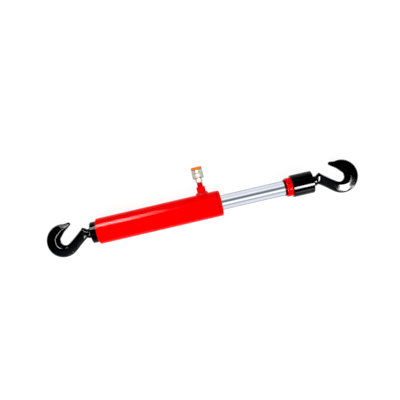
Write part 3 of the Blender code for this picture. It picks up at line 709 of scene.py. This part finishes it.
# The ridge keeps close to the shank's inner edge and swings out round the bowl's far end
RIDGE_NEAR, RIDGE_FAR = 0.045, 0.082  # distances out from the face that the hook turns in
RIDGE_LEAST, RIDGE_MOST = 0.62, 1.3  # reach at those distances, as a share of RIDGE_SHARE
STUD = [  # (distance out from the face, radius)
    (-0.032, 0.0092), (-0.0312, STUD_RADIUS), (0.0028, STUD_RADIUS), (0.0032, 0.0105), (0.0038, 0.0112),
]
BOWL_CENTRE = (0.0637, -0.0022)
BOWL_RADIUS = 0.0121
BACK_CENTRE = (0.0687, -0.0027)
BACK_RADIUS = 0.0384
SADDLE_HALF_ANGLE = 18  # the bowl is flat between these angles
BOWL_ANGLES = (-127, -108, -90, -72, -54, -36, -SADDLE_HALF_ANGLE, 0, SADDLE_HALF_ANGLE, 36, 54)


def on_circle(centre, radius, degrees):
    turn = math.radians(degrees)
    return (centre[0] + radius * math.cos(turn), centre[1] + radius * math.sin(turn))


def hook_stations():
    """(inner point, outer point, half thickness, how far the section is forged rather than round)."""
    stations = [((out, radius), (out, -radius), radius, 0) for out, radius in STUD]
    stations += [
        ((0.0080, 0.0112), (0.0080, -0.0112), 0.0111, 0),
        ((0.0090, 0.0109), (0.0088, -0.0109), 0.0108, 0.05),
        ((0.0110, 0.0116), (0.0106, -0.0099), 0.0104, 0.15),
        ((0.0140, 0.0139), (0.0128, -0.0093), 0.0102, 0.4),
        ((0.0172, 0.0156), (0.0142, -0.0093), 0.0103, 0.65),
        ((0.0196, 0.0168), (0.0155, -0.0099), 0.0104, 0.8),
        ((0.0212, 0.0155), (0.0174, -0.0112), 0.0105, 0.95),
        ((0.0250, 0.0117), (0.0195, -0.0128), 0.0105, 1),
        ((0.0330, 0.0053), (0.0250, -0.0168), 0.0105, 1),
        ((0.0450, -0.0042), (0.0350, -0.0248), 0.0107, 1),
    ]
    for angle in BOWL_ANGLES:
        inner = on_circle(BOWL_CENTRE, BOWL_RADIUS, angle)
        if abs(angle) < SADDLE_HALF_ANGLE:
            inner = (on_circle(BOWL_CENTRE, BOWL_RADIUS, SADDLE_HALF_ANGLE)[0], inner[1])
        outer = on_circle(BACK_CENTRE, BACK_RADIUS, angle)
        half = 0.0110 - 0.0012 * max(angle, 0) / BOWL_ANGLES[-1]
        stations.append((inner, outer, half, 1))
    stations += [
        ((0.0634, 0.0160), on_circle(BACK_CENTRE, BACK_RADIUS, 72), 0.0088, 1),
        ((0.0565, 0.0212), on_circle(BACK_CENTRE, BACK_RADIUS, 90), 0.0076, 1),
        ((0.0510, 0.0252), on_circle(BACK_CENTRE, BACK_RADIUS, 104), 0.0062, 1),
        ((0.0470, 0.0281), (0.0506, 0.0358), 0.0048, 0.7),
        ((0.0455, 0.0297), (0.0473, 0.0354), 0.0034, 0.4),
        ((0.0450, 0.0314), (0.0458, 0.0342), 0.0016, 0.2),
    ]
    return stations


def ridge_reach(out):
    """How far the ridge is from the inner edge, as a share of its place in FORGED_SECTION."""
    share = min(max((out - RIDGE_NEAR) / (RIDGE_FAR - RIDGE_NEAR), 0), 1)
    return RIDGE_LEAST + (RIDGE_MOST - RIDGE_LEAST) * share


def hook_section(station):
    """The section's corners, as (distance out, distance across, height, sharpness of its edge)."""
    inner, outer, half, forged = station
    reach = ridge_reach((inner[0] + outer[0]) / 2)
    corners = []
    for side, order in ((1, range(HALF_SIDES)), (-1, reversed(range(HALF_SIDES)))):
        for k in order:
            flat = FORGED_SECTION[k][0]
            if flat <= RIDGE_SHARE:
                flat *= reach
            else:
                flat = 1 - (1 - flat) * (1 - RIDGE_SHARE * reach) / (1 - RIDGE_SHARE)
            share = ROUND_SECTION[k][0] * (1 - forged) + flat * forged
            height = ROUND_SECTION[k][1] * (1 - forged) + FORGED_SECTION[k][1] * forged
            out = inner[0] + (outer[0] - inner[0]) * share
            across = inner[1] + (outer[1] - inner[1]) * share
            corners.append((out, across, side * half * height, BACK_CREASES.get(k, 0) * forged))
    return corners


def hook_mesh(name, face, direction):
    """The hook whose stations run out from the station face, towards +X or -X."""
    shape = bmesh.new()
    crease = shape.edges.layers.float.new("crease_edge")
    loops = []
    creases = []
    for station in hook_stations():
        section = hook_section(station)
        places = [
            (face + direction * out, across, AXIS_HEIGHT + direction * height)
            for out, across, height, _ in section
        ]
        loops.append([shape.verts.new(place) for place in places])
        creases.append([sharpness for *_, sharpness in section])
    skin(shape, loops, closed=False)
    for i in range(len(loops) - 1):
        for corner, next_corner, *sharpness in zip(loops[i], loops[i + 1], creases[i], creases[i + 1]):
            shape.edges.get((corner, next_corner))[crease] = min(sharpness)
    shape.faces.new(loops[0])
    shape.faces.new(loops[-1])
    return smooth_through(finished_mesh(name, shape))


def subdivided(mesh):
    cage = linked("cage", mesh)
    subdivision = cage.modifiers.new("subdivision", "SUBSURF")
    subdivision.levels = HOOK_SUBDIVISIONS
    subdivision.render_levels = HOOK_SUBDIVISIONS
    return baked(cage)


def smooth_through(mesh):
    """A subdivision surface that passes through the mesh's corners instead of shrinking inside them."""
    corners = [vertex.co.copy() for vertex in mesh.vertices]
    for _ in range(CAGE_CORRECTIONS):
        smooth = subdivided(mesh)
        for vertex, corner, near in zip(mesh.vertices, corners, smooth.vertices):
            vertex.co += corner - near.co
        bpy.data.meshes.remove(smooth)
    return subdivided(mesh)


def make_hooks():
    front = hook_mesh("front_slip_hook", RAM.ends("front_swivel_housing")[1], 1)
    add_piece("front_slip_hook", front, "forging", "front_hook", "front_hook")
    rear = hook_mesh("rear_slip_hook", RAM.ends("rear_end_plug")[0], -1)
    add_piece("rear_slip_hook", rear, "forging", "rear_hook", "rear_hook")


# Oil port, weld, quick coupler and dust cap


def barrel_height(offset):
    """How far the barrel's surface is along the port's line, at a distance beside it."""
    return math.sqrt(BARREL_RADIUS**2 - offset**2)


def make_boss():
    low, top = PORT.ends("port_boss")
    outer = PORT.radius("port_boss")
    sunk = low - 0.001
    oil_hole = 0.0040
    floor = 0.0360
    thread = 0.0069
    outline = [
        (outer, top, 0.0011),
        (outer, sunk), (oil_hole, sunk),
        (oil_hole, floor), (thread, floor),
        (thread, top, 0.0004),
    ]
    turned_piece("port_boss_fine", outline, PORT, "red_paint", "barrel", "port_boss", SMALL_STEPS)


WELD_RIPPLES = 34
WELD_SECTION = 8


def make_weld():
    """A fillet weld that follows the saddle between boss and barrel. It swells and narrows slowly, as
    a hand-laid bead does, and a row of ripples runs along it."""
    inner = PORT.radius("port_boss") - GAP
    toe = PORT.radius("port_weld_bead") + 0.0002
    rise = 0.0056
    root_depth = 0.0015
    shape = bmesh.new()
    loops = []
    steps = SMALL_STEPS * 2
    for i in range(steps):
        turn = math.tau * i / steps
        phase = (turn * WELD_RIPPLES / math.tau) % 1
        swell = 1 + 0.10 * math.sin(3 * turn + 0.6) + 0.07 * math.sin(7 * turn)
        ripple = 0.00036 * (1 - (2 * phase - 1) ** 2) - 0.00016
        loop = []
        for k in range(WELD_SECTION + 1):
            share = k / WELD_SECTION
            radius = inner + (toe - inner) * share * (1 + 0.03 * math.sin(5 * turn))
            height = barrel_height(radius * math.cos(turn)) + rise * swell * (1 - share) ** 1.15
            bulge = math.sin(math.pi * share) * (0.0006 + ripple) * 0.7
            loop.append(shape.verts.new(PORT.place(radius + bulge, height + bulge, turn)))
        for radius in (toe, inner):
            sunk = barrel_height(radius * math.cos(turn)) - root_depth
            loop.append(shape.verts.new(PORT.place(radius - GAP, sunk, turn)))
        loops.append(loop)
    skin(shape, loops, closed=True)
    mesh = finished_mesh("port_fillet_weld", shape)
    add_piece("port_fillet_weld", mesh, "weld_paint", "barrel", "port_weld_bead")


NIPPLE_PITCH = 0.00134
ROWS_PER_TURN = 8


def make_nipple():
    """A threaded nipple with paint in its thread. The thread is a true helix."""
    low, top = PORT.ends("port_nipple")
    neck_start = PORT.ends("coupler_adapter")[0] - GAP
    crest = PORT.radius("port_nipple")
    depth = 0.00062
    neck = 0.0044
    passage = 0.0022
    thread_start = PORT.ends("port_boss")[1] - 0.0012
    thread_end = neck_start - 0.0006
    rows = int((thread_end - thread_start) / NIPPLE_PITCH * ROWS_PER_TURN)
    outline = [(neck, top), (neck, neck_start)]
    outline += [(crest, thread_start + row * NIPPLE_PITCH / ROWS_PER_TURN) for row in range(rows, -1, -1)]
    outline += [(crest, low), (passage, low), (passage, top)]

    def helix(turn, radius, station):
        if radius < crest or station < thread_start:
            return 0
        runout = min((station - thread_start) / NIPPLE_PITCH, 1)
        phase = math.tau * (station - thread_start) / NIPPLE_PITCH - turn
        return -depth * runout * (0.5 - 0.5 * math.cos(phase)) ** 1.4

    name = "port_threaded_nipple"
    turned_piece(name, outline, PORT, "thread_paint", "barrel", "port_nipple", SMALL_STEPS, helix)


HEX_CORNER = 0.0076
COUPLER_THREAD = 0.0080


def flats(reach, low, high):
    """Six blocks that leave a hexagon about the port's line, with a flat facing up."""
    thickness = 0.004
    width = 0.012
    blocks = []
    for k in range(6):
        shape = bmesh.new()
        bmesh.ops.create_cube(shape, size=1)
        out = PORT.out(math.tau * k / 6)
        beside = out.cross(PORT.along)
        for vertex in shape.verts:
            x, y, z = vertex.co
            place = PORT.origin + out * (reach + thickness / 2 + thickness * x)
            place += PORT.along * ((low + high) / 2 + (high - low) * y) + beside * width * z
            vertex.co = place
        blocks.append(finished_mesh("flat", shape))
    return blocks


def snap_ring_groove():
    """Where the groove of the coupler's snap ring starts and ends along the port's line."""
    low, high = PORT.ends("coupler_snap_ring")
    return low - GAP, high + GAP


def make_adapter():
    """The coupler's hexagonal neck: the nipple's seat below, the check valve's cone above."""
    low, top = PORT.ends("coupler_adapter")
    body_start = PORT.ends("coupler_body")[0]
    hex_end = body_start - 0.0004
    thread_start = body_start + GAP
    undercut = 0.0066
    corner = HEX_CORNER + 0.0001
    nipple_seat = 0.0047
    seat_end = 0.0603
    spring_bore = 0.0042
    cone_start = 0.0702
    cone_end = 0.0720
    valve_hole = 0.0024
    outline = [
        (COUPLER_THREAD, top),
        (COUPLER_THREAD, thread_start), (undercut, thread_start),
        (undercut, hex_end), (HEX_CORNER - 0.0004, hex_end),
        (corner, hex_end - 0.0006),
        (corner, low + 0.0018),
        (0.0067, low, 0.0002), (nipple_seat, low),
        (nipple_seat, seat_end), (spring_bore, seat_end),
        (spring_bore, cone_start),
        (valve_hole, cone_end),
        (valve_hole, top),
    ]
    tools = flats(HEX_CORNER * math.cos(math.pi / 6), low - GAP, body_start)
    turned_piece(
        "coupler_neck", outline, PORT, "zinc", "barrel", "coupler_adapter", SMALL_STEPS, tools=tools
    )


def make_coupler_body():
    low, top = PORT.ends("coupler_body")
    outer = PORT.radius("coupler_body")
    groove_low, groove_high = snap_ring_groove()
    groove = outer - 0.0008
    thread = COUPLER_THREAD + GAP
    socket_floor = 0.0740
    socket = 0.0070
    o_ring_groove = socket + 0.0009
    o_ring_low = 0.0790
    o_ring_high = 0.0810
    outline = [
        (outer, top, 0.0006),
        *inset(outer, groove, groove_high, groove_low),
        (outer, low, 0.0006), (thread, low),
        (thread, socket_floor), (socket, socket_floor),
        *inset(socket, o_ring_groove, o_ring_low, o_ring_high),
        (socket, top, 0.0008),
    ]
    turned_piece("coupler_socket_body", outline, PORT, "zinc", "barrel", "coupler_body", SMALL_STEPS)


KNURL_TEETH = 48


def make_coupler_collar():
    """The turning sleeve: a chamfered skirt with a fine straight knurl between two grooves."""
    low, top = PORT.ends("coupler_collar")
    outer = PORT.radius("coupler_collar")
    upper = outer - 0.0009
    crest = outer - 0.0001
    bore = 0.0100
    groove = bore + 0.0009
    groove_low, groove_high = snap_ring_groove()
    knurl_low = low + 0.0040
    knurl_high = low + 0.0128
    outline = [
        (upper, top, 0.0005),
        (upper, top - 0.0042, 0.0003),
        (outer, top - 0.0051, 0.0003),
        (outer, knurl_high + 0.0009, 0.0001),
        (outer - 0.0004, knurl_high + 0.0005),
        (crest, knurl_high),
        (crest, (knurl_low + knurl_high) / 2),
        (crest, knurl_low),
        (outer - 0.0004, knurl_low - 0.0005),
        (outer, knurl_low - 0.0009, 0.0001),
        (outer, low + 0.0021, 0.0004),
        (outer - 0.0016, low, 0.0004), (bore, low, 0.0002),
        *inset(bore, groove, groove_low, groove_high),
        (bore, top, 0.0003),
    ]

    def knurl(turn, radius, station):
        inside = knurl_low - SLIVER < station < knurl_high + SLIVER
        if not inside or radius < crest - 0.0001:
            return 0
        return -0.00018 * (0.5 - 0.5 * math.cos(KNURL_TEETH * turn))

    node = "coupler_collar"
    turned_piece("coupler_sleeve", outline, PORT, "zinc", node, node, KNURL_TEETH * 6, knurl)


CAP_RIBS = 30


def make_dust_cap():
    """A push-in plug cap: a ribbed rim, a shallow dished top with a moulding gate, a stepped plug."""
    low, top = PORT.ends("dust_cap")
    outer = PORT.radius("dust_cap")
    crest = outer - 0.0001
    dish = top - 0.0007
    plug = 0.0064
    rim_low = 0.0868
    outline = [
        (0, top - 0.0004), (0.0009, top - 0.0004, 0.0002),
        (0.0011, dish), (outer - 0.0034, dish, 0.0004),
        (outer - 0.0026, top, 0.0004), (outer - 0.0002, top, 0.0010),
        (crest, top - 0.0018),
        (crest, rim_low + 0.0012),
        (outer - 0.0002, rim_low, 0.0004), (plug, rim_low, 0.0003),
        (plug, low + 0.0014),
        (plug + 0.0002, low + 0.0010, 0.0001),
        (plug, low + 0.0006),
        (plug - 0.0006, low, 0.0002), (0, low),
    ]

    def ribs(turn, radius, station):
        inside = rim_low + 0.0010 < station < top - 0.0016
        if not inside or radius < crest - 0.0002:
            return 0
        return -0.00022 * (0.5 - 0.5 * math.cos(CAP_RIBS * turn)) ** 2

    node = "dust_cap"
    turned_piece("dust_cap_fine", outline, PORT, "orange_plastic", node, node, CAP_RIBS * 8, ribs)


# Springs. They are meshes of coiled wire.


def coil_mesh(name, node, line, turns, wire, points_per_turn):
    """A helix of round wire between a CAD spring's ends, with one closed turn at each end."""
    low, high = line.ends(node)
    radius = line.radius(node) - wire
    count = int(turns * points_per_turn) + 1
    closed_pitch = 2.1 * wire
    rise = (high - low - 2 * wire) - 2 * closed_pitch
    curve = bpy.data.curves.new(name, "CURVE")
    curve.dimensions = "3D"
    curve.bevel_depth = wire
    curve.bevel_resolution = 3
    curve.use_fill_caps = True
    spline = curve.splines.new("POLY")
    spline.points.add(count - 1)
    for i in range(count):
        turn = i / points_per_turn
        lower = min(turn, 1) * closed_pitch
        upper = max(turn - (turns - 1), 0) * closed_pitch
        share = min(max((turn - 1) / (turns - 2), 0), 1)
        station = low + wire + lower + upper + rise * share
        spline.points[i].co = (*line.place(radius, station, math.tau * turn), 1)
    return baked(linked(name, curve))


def make_spring(name, node, line, turns, wire, points_per_turn):
    mesh = coil_mesh(name, node, line, turns, wire, points_per_turn)
    spring = add_piece(name, mesh, "steel", "barrel", node)
    low, high = line.ends(node)
    tuple(line.along)
    tuple(line.place(0, low, 0))
    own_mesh(spring)


# Studio


def soft_box(name, centre, target, size, radiance, receivers):
    """A rectangular lamp of even brightness that only shows as a reflection in its receivers."""
    lamp = bpy.data.lights.new(name, "AREA")
    lamp.shape = "RECTANGLE"
    lamp.size, lamp.size_y = size
    lamp.energy = radiance * math.pi * size[0] * size[1]
    holder = linked(name, lamp)
    holder.location = centre
    holder.rotation_euler = (Vector(target) - Vector(centre)).to_track_quat("-Z", "Y").to_euler()
    holder.visible_camera = False
    holder.visible_diffuse = False
    holder.light_linking.receiver_collection = receivers


EYE = Vector((0.0993, 0.0173, AXIS_HEIGHT + 1.108))
CAMERA_TURN = math.radians(-13.1)
CAMERA_LENS = 43.2  # mm, on a sensor that is 36 mm wide
LAMP_DISTANCE = 1.2
# What lamps along the ram light, and for each: name, degrees from straight up towards the port side,
# station, length along the ram, width, radiance
LAMPS = {
    "red_paint": [
        ("streak_lamp", 49, -0.54, 0.60, 0.54, 86),
        ("streak_lamp_end", 49, -0.17, 0.14, 0.54, 29),
        ("corner_lamp", 38, -1.15, 0.60, 0.70, 170),
        ("collar_lamp", -28, 0.95, 0.84, 0.40, 60),
    ],
    "black_paint": [
        ("plug_lamp", 49, -0.54, 0.60, 0.54, 22),
        ("band_lamp", -28, 0.95, 0.84, 0.41, 110),
        ("low_lamp", -80, 0.95, 0.84, 0.40, 4),
    ],
}
# A ring of lamps for the rear hook's rounded ridge: the way the ridge leans in degrees from +X towards
# the port, how far it leans from straight up, and radiance
RIDGE_LAMPS = [
    (-76, 17, 70), (-57, 17, 90), (-38, 17, 80), (-19, 17, 60), (0, 17, 50), (19, 17, 60),
    (38, 17, 90), (57, 17, 90), (75, 17, 14), (113, 24, 90),
]
# The front hook's lamps: name, centre, size, radiance
FRONT_HOOK_LAMPS = [
    ("bowl_lamp", (0.78, -0.35, 1.13), (0.30, 0.28), 120),
    ("bowl_glow", (0.79, -0.35, 1.14), (0.58, 0.32), 36),
    ("shoulder_lamp", (1.07, -0.68, 1.02), (0.42, 0.34), 110),
]
# Name, degrees from straight up towards the side away from the port, irradiance
SUNS = [("key", 35, 4.1), ("fill", -55, 2.0)]
SUN_SOFTNESS = math.radians(60)
BLACK_LEVEL = 0.012  # brightness that the view turns into full black


def pieces_with(finish):
    """A collection of the pieces that have a finish, for a lamp that lights only those."""
    pieces = bpy.data.collections.new(finish + "_pieces")
    for piece in bpy.context.scene.objects:
        if piece.type == "MESH" and piece.data.materials[:] == [FINISHES[finish].material]:
            pieces.objects.link(piece)
    return pieces


def piece_alone(name):
    pieces = bpy.data.collections.new(name + "_alone")
    pieces.objects.link(bpy.data.objects[name])
    return pieces


def make_lights():
    for finish, lamps in LAMPS.items():
        painted = pieces_with(finish)
        for name, degrees, station, length, width, radiance in lamps:
            centre = RAM.place(LAMP_DISTANCE, station, math.radians(degrees))
            soft_box(name, centre, RAM.place(0, station, 0), (length, width), radiance, painted)
    hook = middle_of("rear_hook")
    rear_hook = piece_alone("rear_slip_hook")
    for degrees, lean, radiance in RIDGE_LAMPS:
        turn, lean = math.radians(degrees), math.radians(lean)
        out = Vector((math.cos(turn), math.sin(turn), 0)) * math.sin(lean)
        facing = out + Vector((0, 0, math.cos(lean)))
        centre = hook - (EYE - hook).normalized().reflect(facing) * LAMP_DISTANCE
        soft_box("ring_lamp", centre, hook, (0.25, 0.25), radiance, rear_hook)
    front_hook = piece_alone("front_slip_hook")
    for name, centre, size, radiance in FRONT_HOOK_LAMPS:
        soft_box(name, centre, middle_of("front_hook"), size, radiance, front_hook)
    plated = pieces_with("zinc")
    soft_box("plating_lamp", (0.107, 0.14, 1.2), (0.107, 0.08, AXIS_HEIGHT), (1.0, 0.5), 4, plated)
    for name, degrees, irradiance in SUNS:
        sun = bpy.data.lights.new(name, "SUN")
        sun.energy = irradiance
        sun.angle = SUN_SOFTNESS
        holder = linked(name, sun)
        holder.rotation_euler = (math.radians(degrees), 0, 0)
        holder.visible_glossy = False


# The studio's brightness by degrees from straight up, towards the port side where positive
STUDIO_LEVELS = [
    (-90, 1.26), (-75, 1.12), (-65, 0.70), (-57, 0.52), (-48, 0.70), (-40, 1.12), (-31, 1.50),
    (-22, 1.52), (-15, 1.28), (-8, 0.80), (-1, 0.38), (5, 0.22), (16, 0.22), (24, 0.38),
    (32, 0.76), (40, 1.15), (48, 1.34), (56, 1.14), (75, 0.74), (90, 0.90),
]
WALL_LEVEL = 1.05
WALL_RISE = (0.10, 0.30)  # heights of a direction between which the wall gives way to the panels
WALL_END = 0.8  # how much the wall rises towards both ends of the tunnel


def make_world():
    """A tunnel of long panels on both sides of the ram. Its ends and its foot are a pale wall."""
    world = bpy.data.worlds.new("studio")
    bpy.context.scene.world = world
    world.cycles_visibility.diffuse = False
    world.use_nodes = True
    nodes = Nodes(world.node_tree)
    direction = nodes.add("ShaderNodeTexCoord", {}).outputs["Generated"]
    along, across, up = nodes.add("ShaderNodeSeparateXYZ", {0: direction}).outputs
    turn = nodes.maths("ARCTAN2", across, nodes.maths("MAXIMUM", up, 0.0))
    share = nodes.maths("ADD", nodes.maths("DIVIDE", turn, math.pi), 0.5)
    ramp = nodes.add("ShaderNodeValToRGB", {0: share})
    stops = ramp.color_ramp.elements
    stops[0].position = 0
    stops[1].position = 1
    for degrees, _ in STUDIO_LEVELS[1:-1]:
        stops.new(degrees / 180 + 0.5)
    for stop, (_, level) in zip(stops, STUDIO_LEVELS):
        stop.color = rgb(level, level, level)
    end = nodes.maths("MULTIPLY", nodes.maths("MULTIPLY", along, along), WALL_END)
    wall = nodes.spread(nodes.maths("SUBTRACT", up, end), 1, 0, *WALL_RISE)
    brightness = nodes.blend(wall, ramp.outputs[0], rgb(WALL_LEVEL, WALL_LEVEL, WALL_LEVEL))
    nodes.tree.links.new(brightness, nodes.tree.nodes["Background"].inputs["Color"])


FLOOR_HEIGHT = -0.016  # low enough for the hooks to turn above it


def make_floor():
    shape = bmesh.new()
    bmesh.ops.create_grid(shape, x_segments=2, y_segments=2, size=30)
    floor = linked("floor", finished_mesh("floor", shape))
    floor.location = (0, 0, FLOOR_HEIGHT)
    finish = Finish("pale_floor", Roughness=0.9, Specular_IOR_Level=0.1, Emission_Strength=0.90)
    finish.shader.inputs["Emission Color"].default_value = rgb(1, 1, 1)
    finish.film(3, rgb(0.13, 0.13, 0.13), rgb(0.11, 0.11, 0.11), detail=3)
    floor.data.materials.append(finish.material)


def make_camera():
    lens = bpy.data.cameras.new("camera")
    lens.lens = CAMERA_LENS
    lens.sensor_width = 36
    camera = linked("camera", lens)
    camera.location = EYE
    camera.rotation_euler = (0, 0, CAMERA_TURN)
    bpy.context.scene.camera = camera


def finish_cad_nodes():
    """Gives every CAD node the finish of its material slot."""
    for node, slot in SLOTS.items():
        materials = frame["nodes"][node].data.materials
        materials.clear()
        materials.append(FINISHES[slot].material)


def main():
    make_camera()
    make_world()
    make_floor()
    finish_cad_nodes()
    make_barrel()
    make_gland()
    make_wiper()
    make_rear_plug()
    make_rod()
    make_collar()
    make_housing()
    make_hooks()
    make_boss()
    make_weld()
    make_nipple()
    make_adapter()
    make_coupler_body()
    make_coupler_collar()
    make_dust_cap()
    make_spring("return_coil", "return_spring", RAM, 9.5, 0.0016, 36)
    make_spring("check_valve_coil", "check_valve_spring", PORT, 4.5, 0.00025, 24)
    make_lights()
    view = bpy.context.scene.view_settings
    view.view_transform = "Standard"
    view.use_curve_mapping = True
    view.curve_mapping.black_level = (BLACK_LEVEL, BLACK_LEVEL, BLACK_LEVEL)
    view.curve_mapping.update()


main()
